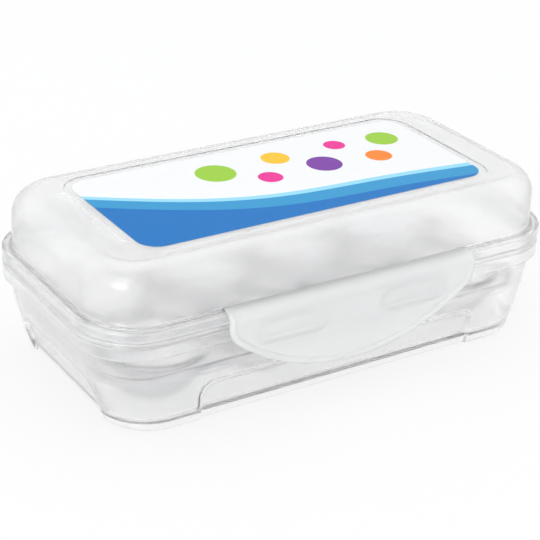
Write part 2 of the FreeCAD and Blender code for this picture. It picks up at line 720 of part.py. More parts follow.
# Cups: round bowls that stand on the tub's floor and hang in the tray's holes
def bowl_outline(sketch, bottom_radius, top_radius, bottom, top, radius):
    rb = bottom_radius.value
    rt = top_radius.value
    zb = bottom.value
    zt = top.value
    half = math.hypot(rt - rb, zt - zb) / 2
    back = math.sqrt(radius.value ** 2 - half ** 2)
    across = (rt - rb) / (2 * half)
    up = (zt - zb) / (2 * half)
    cx = (rb + rt) / 2 - up * back
    cz = (zb + zt) / 2 + across * back
    start = math.atan2(zb - cz, rb - cx)
    end = math.atan2(zt - cz, rt - cx)
    sketch.addGeometry(Part.LineSegment(point(0, zb), point(rb, zb)))
    sketch.addGeometry(arc(point(cx, cz), radius.value, start, end))
    sketch.addGeometry(Part.LineSegment(point(rt, zt), point(0, zt)))
    sketch.addGeometry(Part.LineSegment(point(0, zt), point(0, zb)))
    for step in range(4):
        sketch.addConstraint(Sketcher.Constraint("Coincident", step, 2, (step + 1) % 4, 1))
    sketch.addConstraint(Sketcher.Constraint("Horizontal", 0))
    sketch.addConstraint(Sketcher.Constraint("Horizontal", 2))
    sketch.addConstraint(Sketcher.Constraint("Vertical", 3))
    sketch.addConstraint(Sketcher.Constraint("PointOnObject", 0, 1, -2))
    constrain(sketch, bottom, "DistanceY", -1, 1, 0, 1)
    constrain(sketch, bottom_radius, "DistanceX", -1, 1, 0, 2)
    constrain(sketch, top_radius, "DistanceX", -1, 1, 2, 1)
    constrain(sketch, top, "DistanceY", -1, 1, 2, 1)
    constrain(sketch, radius, "Radius", 1)


def egg_cup(name, x, y):
    body = new_body(name)
    cup_wall = dim("cup_wall")
    outside = new_sketch(body, name + "_outside", "XZ_Plane")
    bowl_outline(
        outside, cup_bottom_radius, cup_top_radius, dim("floor_top"), tray_top,
        dim("cup_arc"))
    solid = body.newObject("PartDesign::Revolution", name + "_solid")
    solid.Profile = outside
    solid.ReferenceAxis = (outside, ["V_Axis"])
    solid.Angle = 360
    lip_sketch = new_sketch(body, name + "_lip", "XY_Plane", tray_top)
    lip_sketch.addGeometry(Part.Circle(point(0, 0), FreeCAD.Vector(0, 0, 1), cup_lip_radius.value))
    lip_sketch.addConstraint(Sketcher.Constraint("Coincident", 0, 3, -1, 1))
    constrain(lip_sketch, cup_lip_radius, "Radius", 0)
    pad(body, lip_sketch, dim("cup_lip_height"))
    doc.recompute()
    before = body.Shape.Volume
    inside = new_sketch(body, name + "_inside", "XZ_Plane")
    bowl_outline(
        inside, cup_bottom_radius - cup_wall, cup_top_radius - cup_wall,
        dim("floor_top") + cup_wall, tray_top + dim("cup_lip_height"), dim("cup_arc") - cup_wall)
    space = body.newObject("PartDesign::Groove", name + "_space")
    space.Profile = inside
    space.ReferenceAxis = (inside, ["V_Axis"])
    space.Angle = 360
    doc.recompute()
    if body.Shape.Volume >= before:
        raise ValueError(name + " has no hollow")
    bind(body, "Placement.Base.x", x)
    bind(body, "Placement.Base.y", y)
    return body


cups = []
for row, row_name in enumerate(("front", "back")):
    for column in range(COLUMN_COUNT):
        cups.append(egg_cup(
            "egg_cup_%s_%d" % (row_name, column + 1),
            first_x + cell_length * column, first_y + cell_width * row))

doc.recompute()
sub_parts = [base_tub, tray, lid_shell, front_clip, label] + cups
for item in doc.Objects:
    if "Invalid" in item.State or "Error" in item.State:
        raise ValueError("%s did not build: %s" % (item.Name, item.State))
for item in sub_parts:
    if item.Shape.isNull() or not item.Shape.isValid() or len(item.Shape.Solids) != 1:
        raise ValueError("%s is not one sound solid" % item.Label)
for item in sub_parts:
    item.Shape.exportStep("parts/%s.step" % item.Label)
    size = item.Shape.BoundBox
    print("%-18s %9.1f mm3  x %.2f..%.2f  y %.2f..%.2f  z %.2f..%.2f" % (
        item.Label, item.Shape.Volume, size.XMin, size.XMax, size.YMin, size.YMax, size.ZMin, size.ZMax))
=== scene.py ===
import math

import bmesh
import bpy
from mathutils import Matrix, Vector


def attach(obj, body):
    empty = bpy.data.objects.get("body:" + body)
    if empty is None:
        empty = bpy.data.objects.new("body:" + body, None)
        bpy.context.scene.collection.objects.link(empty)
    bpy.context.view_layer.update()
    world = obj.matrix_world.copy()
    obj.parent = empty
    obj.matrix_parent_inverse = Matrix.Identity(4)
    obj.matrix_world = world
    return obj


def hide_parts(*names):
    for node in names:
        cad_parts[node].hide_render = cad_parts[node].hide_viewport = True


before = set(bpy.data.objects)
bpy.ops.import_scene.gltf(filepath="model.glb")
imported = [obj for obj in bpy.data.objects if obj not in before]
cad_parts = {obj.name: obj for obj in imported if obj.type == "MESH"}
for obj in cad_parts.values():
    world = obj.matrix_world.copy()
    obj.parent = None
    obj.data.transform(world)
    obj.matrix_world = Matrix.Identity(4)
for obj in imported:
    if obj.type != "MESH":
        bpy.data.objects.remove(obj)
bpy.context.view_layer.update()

# A translucent egg case on a white table: tub, lid, clip and tray are modelled here as clean skins
# over the CAD solids, and the label keeps its CAD mesh. Sizes below are in millimetres and are turned
# into the frame's metres by MM.

MM = 0.001

# Rim outline, shared by tub and lid
HALF_LENGTH = 113.0
HALF_WIDTH = 57.0
RIM_CORNER = 26.4
PARTING = 43.0
GAP = 0.3
WALL = 1.4

# Tub wall: insets from the rim outline at the foot, the belly and the neck
FOOT_ROUND = 3.4
BELLY_HEIGHT = 21.5
END_INSETS = (11.0, 5.4, 2.7)
SIDE_INSETS = (4.4, 2.7, 2.8)
CORNERS = (22.0, 24.2, 23.8)
FOOT_RING = 1.6
FLOOR_TOP = 5.0
FLOOR_THICKNESS = 1.6
FLOOR_ROUND = 3.0
BAND_HEIGHT = 6.6
EDGE_ROUND = 0.5

# Sunken panels between the feet: half length, height and corner radius
SIDE_PANEL = (68.0, 18.2, 8.0)
END_PANEL = (33.0, 19.0, 10.0)
PANEL_DEPTH = 1.8
PANEL_STEP = 1.5
PANEL_RISE = 0.6
PANEL_ROUND = 1.6
PANEL_BLEND_HEIGHT = 8.0

# Lines of the tub's mesh: straights at which they are given, and where they lie close together
END_STRAIGHT = 30.4
SIDE_STRAIGHT = 82.0
FINE_CORNER = 0.16
FINE_MARGIN = 2.0
END_FINE_MARGIN = 0.5
SIDE_REACH = 6.0
FINE_TOP_OUTSIDE = 20.0
FINE_TOP_INSIDE = 22.0
RIM_TO_INSIDE = 1.5
FLOOR_MARGIN = 1.0

# Lid
LID_TOP = 73.4
LID_INSET = 3.5
LID_CORNER = 24.6
LID_DRAFT = math.tan(math.radians(1.0))
SHOULDER = 10.0
SKIRT_HEIGHT = 6.1
SKIRT_ROUND = 1.0
ROOT_ROUND = 0.7
LIP_DROP = 2.5
LIP_RISE = 3.5
LIP_INSET = 4.65
LIP_WALL = 1.2
LIP_TO_WALL = 3.0
LABEL_PANEL = (87.2, 39.4, 12.4)
LABEL_DEPTH = 0.4
LABEL_HALF = (83.8, 36.0)

# Rear hinge: ears and pins on the tub, open barrels on the lid
HINGE_OUT = 59.6
HINGE_HEIGHT = 43.15
HINGE_SPREAD = 52.0
HINGE_RADIUS = 2.3
HINGE_BORE = 1.25
HINGE_PIN = 1.2
HINGE_EAR = 3.0
HINGE_BARREL = 19.4
HINGE_SIDE_GAP = 0.3
HINGE_MOUTH = 1.9
HINGE_EDGE = 0.3
HINGE_ARM = 2.0

# Seat on the lid's wall for the clip's thin top edge
CLIP_AXIS = (-54.5, 50.25)
CLIP_SEAT_BORE = 0.55
CLIP_SEAT_TOP = 50.1

# Clip: a D-shaped plate rolled over the skirt to a thin edge, with a bead along the D
CLIP_HALF = 60.0
CLIP_CORNER = 10.0
CLIP_ARC = 89.0
CLIP_BOTTOM = 16.6
CLIP_FRONT = 61.1
CLIP_BACK = 59.7
CLIP_PLATE_TOP = 45.75
CLIP_ROLL = 5.0
CLIP_ROLL_INSIDE = 3.2
CLIP_WEB = 1.0
CLIP_BEAD = 1.5
CLIP_BEAD_INSET = 1.1
CLIP_BORDER = 3.2
CLIP_PLAIN_LINES = (0.75, 0.5)
CLIP_BEAD_LINE = 0.92
CLIP_BEAD_START = 0.15
CLIP_BEAD_SPAN = 0.6
CLIP_PLATE_ROWS = 8
HOOK_PAD = (14.0, 46.0, 33.1, 42.4)
HOOK_PAD_CORNER = 3.0
HOOK_PAD_BACK = 57.4
HOOK_NOSE_TOP = 36.0
HOOK_NOSE_BACK = 55.4

# Lift-out tray, moulded in one piece with its cups
TRAY_HALF = (104.0, 49.4)
TRAY_CORNER = 20.0
TRAY_TOP = 25.0
TRAY_PLATE = 1.4
TRAY_SKIRT_BOTTOM = 20.0
TRAY_SKIRT_WALL = 1.2
TRAY_EDGE = 0.4
CUP_PITCH = (50.0, 48.0)
CUP_FOOT = 5.05
CUP_WALL = 1.2
CUP_RADII = (12.0, 22.5)
CUP_ARC = 26.0
CUP_LIP_RADIUS = 23.6
CUP_LIP_HEIGHT = 1.0

# Printed discs: place across and along the label, radius, and ink
DISCS = (
    (-22.0, 17.0, 9.0, (0.33, 0.61, 0.04)), (-3.0, 3.0, 5.5, (0.83, 0.02, 0.3)),
    (10.0, 20.0, 6.5, (0.95, 0.55, 0.02)), (26.0, 5.0, 8.0, (0.2, 0.04, 0.36)),
    (42.0, 21.0, 5.0, (0.83, 0.02, 0.3)), (53.0, 2.0, 6.0, (0.95, 0.24, 0.02)),
    (66.0, 18.0, 7.5, (0.33, 0.61, 0.04)))

# Blue sweep of the print: rise and bend of its crest, ripples, foot, light line and deep part
SWEEP_RISE = 42.0
SWEEP_BEND = 2.2
SWEEP_RIPPLES = 7.0
SWEEP_RIPPLE_HEIGHT = 3.0
SWEEP_FOOT = 10.0
SWEEP_LINE = 3.4
SWEEP_DEEP = 9.0
SWEEP_INKS = ((0.32, 0.72, 0.9), (0.027, 0.31, 0.61), (0.0, 0.17, 0.52))

# Film of the label: its two whites, its underside, fibres, gloss and the softness of a printed edge
FILM_WHITES = ((0.86, 0.87, 0.88), (0.9, 0.9, 0.9))
FILM_UNDERSIDE = (0.88, 0.88, 0.89)
FILM_FIBRES = 240.0
FILM_ROUGHNESS = (0.28, 0.42)
FILM_SPECULAR = 0.12
PRINT_EDGE = 0.08

# Distances in metres under which points are one, or lie on one line
MERGE_DISTANCE = 1e-7
LINE_DISTANCE = 1e-9

QUARTERS = ((1, 1), (-1, 1), (-1, -1), (1, -1))
QUARTER_TURN = math.pi / 2

# Looks of the plastic: cloudiness, polish and pores per metre, and how clear tight bends stay; making bends
# milkier is a painted edge highlight
CLOUD_SCALE = 18.0
CLOUD_RANGE = (0.3, 0.7)
POLISH_SCALE = 60.0
PORE_SCALE = 5000.0
PORE_DEPTH = 0.08
BEND_RANGE = (0.04, 0.12)
EDGE_HIGHLIGHT_TRANSMISSION = 0.7
PLASTIC_IOR = 1.49

# Table, surroundings and lamps; each lamp has its place, target, width, height and power
FLOOR_HALF = 3
FLOOR_GREY = 0.9
SHADOW_SHARE = 0.16
AMBIENT = (0.97, 0.985, 1.0)
LAMPS = (
    ("overhead", (0.1, 0.2, 1.1), (0.0, 0.0, 0.0), 1.0, 0.8, 0.8),
    ("front_left", (-0.75, -0.55, 0.5), (0.0, 0.0, 0.04), 0.35, 0.7, 1.5),
    ("low_left", (-1.1, -0.72, 0.14), (-0.09, -0.04, 0.05), 0.5, 0.25, 2.5))

# The photograph's camera: place in millimetres, turns, and focal length in pixels of its square frame
CAMERA_PLACE = (-353.4, -532.7, 345.1)
CAMERA_YAW = math.radians(33.32)
CAMERA_PITCH = math.radians(26.28)
CAMERA_ROLL = math.radians(2.5)
FRAME_PIXELS = 540
FOCAL_PIXELS = 1628.55
SENSOR = 36.0


def spread(start, end, count):
    """Evenly spaced values from start to end, both included."""
    return [start + (end - start) * step / count for step in range(count + 1)]


class Stations:
    """Places round a rounded rectangle, given for one quarter and mirrored into a whole loop.

    A quarter runs from the middle of an end, round the corner, to the middle of a side. End and
    side places are distances from the middle, kept as they are up to a fixed reach and stretched
    beyond it, so that lines of the mesh follow the upright edges of the panels.
    """

    def __init__(self, ends, corner, sides, end_reach, side_reach):
        self.quarter = [("end", place) for place in ends]
        self.quarter += [("corner", share) for share in corner]
        self.quarter += [("side", place) for place in sides]
        self.nominal = {"end": ends[-1], "side": sides[0]}
        self.reach = {"end": end_reach, "side": side_reach}

    def stretched(self, kind, place, straight):
        reach = self.reach[kind]
        if place <= reach:
            return place
        return reach + (place - reach) * (straight - reach) / (self.nominal[kind] - reach)

    def quarter_points(self, half_x, half_y, radius):
        """(kind, x, y, normal x, normal y) along the quarter where x and y are positive."""
        points = []
        for kind, place in self.quarter:
            if kind == "end":
                points.append((kind, half_x, self.stretched(kind, place, half_y - radius), 1.0, 0.0))
            elif kind == "side":
                points.append((kind, self.stretched(kind, place, half_x - radius), half_y, 0.0, 1.0))
            else:
                c, s = math.cos(place * QUARTER_TURN), math.sin(place * QUARTER_TURN)
                points.append((kind, half_x - radius + radius * c, half_y - radius + radius * s, c, s))
        return points

    def loop(self, outline, place_point):
        """A closed loop of points, counter-clockwise from the middle of the left end."""
        quarter = [place_point(*point) for point in self.quarter_points(*outline)]
        front_left = [(-x, -y, z) for x, y, z in quarter]
        front_right = [(x, -y, z) for x, y, z in reversed(quarter[:-1])]
        back_right = [(x, y, z) for x, y, z in quarter[1:]]
        back_left = [(-x, y, z) for x, y, z in reversed(quarter[1:-1])]
        return [Vector(p) * MM for p in front_left + front_right + back_right + back_left]


def join_rows(mesh, rows):
    """Faces between neighbouring closed rows of points."""
    for row, after in zip(rows, rows[1:]):
        for step in range(len(row)):
            beside = (step + 1) % len(row)
            mesh.faces.new((row[step], row[beside], after[beside], after[step]))


def skin_mesh(name, loops):
    """A closed skin through the loops in order, its first and last loop filled straight across."""
    mesh = bmesh.new()
    rows = [[mesh.verts.new(point) for point in loop] for loop in loops]
    join_rows(mesh, rows)
    for row in (rows[0], rows[-1]):
        fill_across(mesh, row)
    return finished(name, mesh)


def fill_across(mesh, row):
    """Strips across a closed flat row, with one face along each of its straight ends."""
    count = len(row)
    half = count // 2
    reach = 1
    while abs(row[reach].co.x - row[0].co.x) < LINE_DISTANCE:
        reach += 1
    for middle in (0, half):
        mesh.faces.new([row[step % count] for step in range(middle - reach, middle + reach + 1)])
    for step in range(reach, half - reach):
        mesh.faces.new((row[step], row[step + 1], row[-step - 1], row[-step]))


def finished(name, mesh):
    """An object from a bmesh, its faces turned outwards and shaded smooth."""
    bmesh.ops.remove_doubles(mesh, verts=mesh.verts, dist=MERGE_DISTANCE)
    bmesh.ops.recalc_face_normals(mesh, faces=mesh.faces)
    data = bpy.data.meshes.new(name)
    mesh.to_mesh(data)
    mesh.free()
    for face in data.polygons:
        face.use_smooth = True
    item = bpy.data.objects.new(name, data)
    bpy.context.scene.collection.objects.link(item)
    return item


def keep_flats(item):
    """Shades flat faces flat and rounded edges round."""
    modifier = item.modifiers.new("weighted normals", "WEIGHTED_NORMAL")
    modifier.keep_sharp = True
    modifier.weight = 60


def quadratic(z, values):
    """The smooth curve through the values at the foot, the belly and the neck."""
    a, b, c = FOOT_ROUND, BELLY_HEIGHT, PARTING
    foot, belly, neck = values
    return (foot * (z - b) * (z - c) / ((a - b) * (a - c))
            + belly * (z - a) * (z - c) / ((b - a) * (b - c))
            + neck * (z - a) * (z - b) / ((c - a) * (c - b)))


def tub_outline(z):
    """Half length, half width and corner of the tub's wall at a height."""
    return (HALF_LENGTH - quadratic(z, END_INSETS), HALF_WIDTH - quadratic(z, SIDE_INSETS),
            quadratic(z, CORNERS))


def rim_outline(inset):
    """The rim's outline, drawn in by an inset."""
    return HALF_LENGTH - inset, HALF_WIDTH - inset, RIM_CORNER - inset


def smooth_step(share):
    """A share from 0 to 1 with soft ends."""
    share = min(max(share, 0.0), 1.0)
    return share * share * (3.0 - 2.0 * share)


def panel_share(along, z, panel, grow):
    """How far a place lies in a sunken panel: 0 outside it, 1 inside, smooth across the step."""
    half, top, corner = panel
    over = along - (half + grow - corner)
    above = z - (top + grow - corner)
    if over > 0 and above > 0:
        distance = math.hypot(over, above) - corner
    else:
        distance = max(over, above) - corner
    return smooth_step(-distance / PANEL_STEP)


def tub_place(base, sunk, share_height, grow=0.0):
    """Places a station at (inset, height), or at the other pair where it lies in a panel."""

    def place(kind, x, y, nx, ny):
        if kind == "side":
            share = panel_share(x, share_height, SIDE_PANEL, grow)
        else:
            share = panel_share(y, share_height, END_PANEL, grow)
        inset = base[0] + (sunk[0] - base[0]) * share
        z = base[1] + (sunk[1] - base[1]) * share
        return x - nx * inset, y - ny * inset, z

    return place


def flat_place(z):
    """Places every station at one height."""
    return lambda kind, x, y, nx, ny: (x, y, z)


def tub_skin():
    """The tub, from under its floor, up the outside, over the rim and down the inside."""
    fine_corner = spread(0.0, FINE_CORNER, 12)[1:]
    coarse_corner = spread(FINE_CORNER, 1.0, 19)[1:-1]
    half, corner = SIDE_PANEL[0], SIDE_PANEL[2]
    side_fine = half - corner - FINE_MARGIN
    side_edge = half + FINE_MARGIN
    side_reach = half + SIDE_REACH
    sides = spread(SIDE_STRAIGHT, side_reach, 3) + spread(side_reach, side_edge, 2)[1:]
    sides += spread(side_edge, side_fine, 24)[1:] + spread(side_fine, 0.0, 10)[1:]
    end_fine = END_PANEL[0] - END_PANEL[2] - END_FINE_MARGIN
    ends = spread(0.0, end_fine, 5) + spread(end_fine, END_STRAIGHT, 16)[1:]
    around = Stations(ends, fine_corner + coarse_corner, sides, end_fine, side_reach)
    loops = []

    def add(outline, place):
        loops.append(around.loop(outline, place))

    foot = tub_outline(FOOT_ROUND)
    ring_inset = FOOT_ROUND + FOOT_RING
    under = FLOOR_TOP - FLOOR_THICKNESS
    # Underside of the floor and the inside of the foot ring
    add(foot, tub_place((ring_inset + EDGE_ROUND, under), (ring_inset + EDGE_ROUND, under), 0.0))
    add(foot, tub_place((ring_inset, under - EDGE_ROUND), (ring_inset, under - EDGE_ROUND), 0.0))
    add(foot, tub_place((ring_inset, EDGE_ROUND), (ring_inset, PANEL_RISE + EDGE_ROUND), 0.0))
    add(foot, tub_place((ring_inset - EDGE_ROUND, 0.0), (ring_inset - EDGE_ROUND, PANEL_RISE), 0.0))
    # Rounded bottom edge
    for angle in spread(0.0, QUARTER_TURN, 8):
        inward, rise = 1.0 - math.sin(angle), 1.0 - math.cos(angle)
        add(foot, tub_place(
            (FOOT_ROUND * inward, FOOT_ROUND * rise),
            (PANEL_DEPTH + PANEL_ROUND * inward, PANEL_RISE + PANEL_ROUND * rise), 0.0))
    # Outside of the wall, with the panels
    panel_drop = FOOT_ROUND - PANEL_RISE - PANEL_ROUND
    neck_top = PARTING - WALL
    heights = spread(FOOT_ROUND, PANEL_BLEND_HEIGHT, 6)[1:]
    heights += spread(PANEL_BLEND_HEIGHT, FINE_TOP_OUTSIDE, 26)[1:]
    heights += spread(FINE_TOP_OUTSIDE, neck_top - EDGE_ROUND, 8)[1:]
    for z in heights:
        lowered = panel_drop * max(0.0, (PANEL_BLEND_HEIGHT - z) / (PANEL_BLEND_HEIGHT - FOOT_ROUND))
        add(tub_outline(z), tub_place((0.0, z), (PANEL_DEPTH, z - lowered), z))
    # Rim turned down outside the wall
    wall_inset = SIDE_INSETS[2]
    band_bottom = PARTING - BAND_HEIGHT
    rim = [(wall_inset - EDGE_ROUND, neck_top), (WALL + EDGE_ROUND, neck_top), (WALL, neck_top - EDGE_ROUND),
           (WALL, band_bottom + EDGE_ROUND)]
    for angle in spread(0.0, math.pi, 8):
        rim.append((WALL / 2 + WALL / 2 * math.cos(angle), band_bottom + EDGE_ROUND * (1 - math.sin(angle))))
    for angle in spread(0.0, QUARTER_TURN, 4):
        rim.append((EDGE_ROUND * (1 - math.cos(angle)), PARTING - EDGE_ROUND * (1 - math.sin(angle))))
    inner_inset = wall_inset + WALL
    for angle in spread(QUARTER_TURN, 0.0, 4):
        rim.append((inner_inset - EDGE_ROUND * (1 - math.cos(angle)),
                    PARTING - EDGE_ROUND * (1 - math.sin(angle))))
    for inset, z in rim:
        add(rim_outline(inset), flat_place(z))
    # Inside of the wall, with the backs of the panels
    floor_edge = FLOOR_TOP + FLOOR_ROUND
    heights = spread(PARTING - RIM_TO_INSIDE, FINE_TOP_INSIDE, 7)
    heights += spread(FINE_TOP_INSIDE, floor_edge, 28)[1:]
    for z in heights:
        add(tub_outline(z), tub_place((WALL, z), (WALL + PANEL_DEPTH, z), z, WALL))
    low = tub_outline(floor_edge)
    for angle in spread(0.0, QUARTER_TURN, 6)[1:]:
        inward = WALL + FLOOR_ROUND * (1 - math.cos(angle))
        z = floor_edge - FLOOR_ROUND * math.sin(angle)
        add(low, tub_place((inward, z), (inward + PANEL_DEPTH, z), z, WALL))
    last = WALL + FLOOR_ROUND + PANEL_DEPTH + FLOOR_MARGIN
    add(low, tub_place((last, FLOOR_TOP), (last, FLOOR_TOP), 0.0))
    return skin_mesh("tub_skin", loops)


def lid_outline(inset):
    """The lid wall's outline, drawn in from the rim by an inset."""
    corner = LID_CORNER + LID_INSET - inset
    return HALF_LENGTH - inset, HALF_WIDTH - inset, corner


def grown(outline, distance):
    """An outline moved outwards by a distance."""
    half_x, half_y, radius = outline
    return half_x + distance, half_y + distance, radius + distance


def lid_skin():
    """The lid, from its label panel, down the outside, round the skirt and up the inside."""
    around = Stations(
        spread(0.0, 1.0, 6), spread(0.0, 1.0, 24)[1:-1], spread(1.0, 0.0, 12), 0.0, 0.0)
    loops = []

    def add(outline, z):
        loops.append(around.loop(outline, flat_place(z)))

    bottom = PARTING + GAP
    shoulder_z = LID_TOP - SHOULDER
    shoulder_inset = LID_INSET + LID_DRAFT * (shoulder_z - bottom) + SHOULDER
    edge = LABEL_DEPTH / 2
    # Sunken label panel with a softly rounded step
    add(grown(LABEL_PANEL, -2.0 * edge), LID_TOP - LABEL_DEPTH)
    for angle in spread(0.0, QUARTER_TURN, 3):
        rise = edge * (1 - math.cos(angle))
        add(grown(LABEL_PANEL, edge * (math.sin(angle) - 1.0)), LID_TOP - LABEL_DEPTH + rise)
    for angle in spread(0.0, QUARTER_TURN, 3):
        add(grown(LABEL_PANEL, edge * (1 - math.cos(angle))), LID_TOP - edge * (1 - math.sin(angle)))
    # Shoulder and wall
    for angle in spread(QUARTER_TURN, math.atan(LID_DRAFT), 16):
        add(lid_outline(shoulder_inset - SHOULDER * math.cos(angle)), shoulder_z + SHOULDER * math.sin(angle))
    skirt_top = bottom + SKIRT_HEIGHT
    for z in spread(shoulder_z, skirt_top + SKIRT_ROUND, 4)[1:]:
        add(lid_outline(LID_INSET + LID_DRAFT * (z - bottom)), z)
    # Root of the wall, skirt and the channel behind the skirt
    skirt = []
    for angle in spread(0.0, QUARTER_TURN, 4)[1:]:
        skirt.append((LID_INSET - ROOT_ROUND * (1 - math.cos(angle)),
                      skirt_top + ROOT_ROUND * (1 - math.sin(angle))))
    for angle in spread(QUARTER_TURN, 0.0, 5):
        skirt.append((SKIRT_ROUND * (1 - math.cos(angle)), skirt_top - SKIRT_ROUND * (1 - math.sin(angle))))
    for angle in spread(math.pi, 0.0, 8):
        skirt.append((WALL / 2 + WALL / 2 * math.cos(angle), bottom + EDGE_ROUND * (1 - math.sin(angle))))
    channel_top = skirt_top - WALL
    skirt += [(WALL, channel_top - EDGE_ROUND), (WALL + EDGE_ROUND, channel_top)]
    for inset, z in skirt:
        add(rim_outline(inset), z)
    for inset, z in ((LID_INSET - EDGE_ROUND, channel_top), (LID_INSET, channel_top - EDGE_ROUND),
                     (LID_INSET, bottom + EDGE_ROUND), (LID_INSET + EDGE_ROUND, bottom)):
        add(lid_outline(inset), z)
    # Lip inside the tub's rim
    lip_bottom = bottom - LIP_DROP
    lip_inner = LIP_INSET + LIP_WALL
    for inset, z in ((LIP_INSET, bottom - EDGE_ROUND), (LIP_INSET, lip_bottom + EDGE_ROUND),
                     (LIP_INSET + EDGE_ROUND, lip_bottom), (lip_inner - EDGE_ROUND, lip_bottom),
                     (lip_inner, lip_bottom + EDGE_ROUND), (lip_inner, bottom + LIP_RISE - EDGE_ROUND)):
        add(rim_outline(inset), z)
    # Inside of the wall, the shoulder and the top
    inner_inset = LID_INSET + WALL
    add(lid_outline(inner_inset), bottom + LIP_RISE + EDGE_ROUND)
    for z in spread(bottom + LIP_RISE + LIP_TO_WALL, shoulder_z, 3):
        add(lid_outline(inner_inset + LID_DRAFT * (z - bottom)), z)
    inner_round = SHOULDER - WALL
    for angle in spread(math.atan(LID_DRAFT), QUARTER_TURN, 12):
        inset = shoulder_inset - inner_round * math.cos(angle)
        add(lid_outline(inset), shoulder_z + inner_round * math.sin(angle))
    return skin_mesh("lid_skin", loops)


def turned(centre, radius, start, end, count):
    """Points of an arc in the YZ plane, with angles in degrees from the back."""
    return [(centre[0] + radius * math.cos(math.radians(angle)),
             centre[1] + radius * math.sin(math.radians(angle))) for angle in spread(start, end, count)]


def prism(name, outline, place, start, end, bevel):
    """A closed outline swept from start to end, its two rims softened; place gives each point."""
    mesh = bmesh.new()
    near = [mesh.verts.new(Vector(place(a, b, start)) * MM) for a, b in outline]
    far = [mesh.verts.new(Vector(place(a, b, end)) * MM) for a, b in outline]
    rims = []
    for ring in (near, far):
        rims += list(mesh.faces.new(ring).edges)
    for step in range(len(outline)):
        after = (step + 1) % len(outline)
        mesh.faces.new((near[step], near[after], far[after], far[step]))
    bmesh.ops.bevel(mesh, geom=rims, offset=bevel * MM, segments=2, profile=0.5, affect="EDGES")
    item = finished(name, mesh)
    keep_flats(item)
    return item


def bar(name, section, start, end, bevel):
    """A bar along X with a section in the YZ plane."""
    return prism(name, section, lambda y, z, x: (x, y, z), start, end, bevel)


def rounded_box(left, right, low, high, radius):
    """The outline of a rectangle with rounded corners."""
    points = []
    for across, up, turn in ((right, high, 0), (left, high, 1), (left, low, 2), (right, low, 3)):
        centre = (across + radius * (1 if across == left else -1), up + radius * (1 if up == low else -1))
        points += turned(centre, radius, 90.0 * turn, 90.0 * (turn + 1), 5)
    return points


def hinge_pieces():
    """Ears and pins of the tub, then the barrels of the lid that snap over the pins."""
    axis = (HINGE_OUT, HINGE_HEIGHT)
    rim = HALF_WIDTH - WALL / 2
    low = HINGE_HEIGHT - HINGE_RADIUS
    ear = [(rim, low), (HINGE_OUT, low)] + turned(axis, HINGE_RADIUS, -90.0, 183.0, 24)[1:]
    ear.append((rim, PARTING))
    pin = turned(axis, HINGE_PIN, 0.0, 345.0, 23)
    arm_top = HINGE_HEIGHT + HINGE_ARM
    arm_bottom = PARTING + 2 * GAP
    mouth = HINGE_MOUTH / 2
    gate_outer = math.degrees(math.acos(mouth / HINGE_RADIUS))
    gate_bore = math.degrees(math.acos(mouth / HINGE_BORE))
    top_angle = 180.0 - math.degrees(math.asin((arm_top - HINGE_HEIGHT) / HINGE_RADIUS))
    low_angle = 180.0 - math.degrees(math.asin((arm_bottom - HINGE_HEIGHT) / HINGE_RADIUS))
    barrel = turned(axis, HINGE_RADIUS, -gate_outer, top_angle, 16) + [(rim, arm_top), (rim, arm_bottom)]
    barrel += turned(axis, HINGE_RADIUS, low_angle, 180.0 + gate_outer, 6)
    barrel += turned(axis, HINGE_BORE, 180.0 + gate_bore, -gate_bore, 40)
    on_tub, on_lid = [], []
    half = HINGE_BARREL / 2
    for side, sign in (("left", -1), ("right", 1)):
        centre = HINGE_SPREAD * sign
        inner, outer = half + HINGE_SIDE_GAP, half + HINGE_SIDE_GAP + HINGE_EAR
        for place, start, end in (("a", -outer, -inner), ("b", inner, outer)):
            on_tub.append(bar(
                "hinge_ear_%s_%s" % (side, place), ear, centre + start, centre + end, HINGE_EDGE))
        on_tub.append(bar("hinge_pin_" + side, pin, centre - inner, centre + inner, HINGE_EDGE / 3))
        on_lid.append(bar("hinge_barrel_" + side, barrel, centre - half, centre + half, HINGE_EDGE))
    return on_tub, on_lid


def clip_seat():
    """The ledge beside the lid's wall, hollowed for the clip's thin edge."""
    skirt_top = PARTING + GAP + SKIRT_HEIGHT
    front, back = CLIP_AXIS[0], -(HALF_WIDTH - LID_INSET - WALL / 2)
    drop = CLIP_AXIS[1] - CLIP_SEAT_TOP
    end = -math.degrees(math.asin(drop / CLIP_SEAT_BORE))
    section = [(front, skirt_top - WALL / 2), (back, skirt_top - WALL / 2), (back, CLIP_SEAT_TOP)]
    section += turned(CLIP_AXIS, CLIP_SEAT_BORE, end, -90.0, 6)
    return bar("clip_seat", section, -CLIP_HALF, CLIP_HALF, EDGE_ROUND)


def clip_profile():
    """Front and back points (out, height) down the rolled top, from the thin edge to the plate."""
    out, height = -CLIP_AXIS[0], CLIP_AXIS[1]
    front_centre = (CLIP_FRONT - CLIP_ROLL, CLIP_PLATE_TOP)
    back_centre = (CLIP_BACK - CLIP_ROLL_INSIDE, height - CLIP_WEB / 2 - CLIP_ROLL_INSIDE)
    front = [(out, height + CLIP_WEB / 2)] + turned(front_centre, CLIP_ROLL, 90.0, 0.0, 12)
    back = [(out, height - CLIP_WEB / 2)] + turned(back_centre, CLIP_ROLL_INSIDE, 90.0, 0.0, 12)
    return list(zip(front, back))


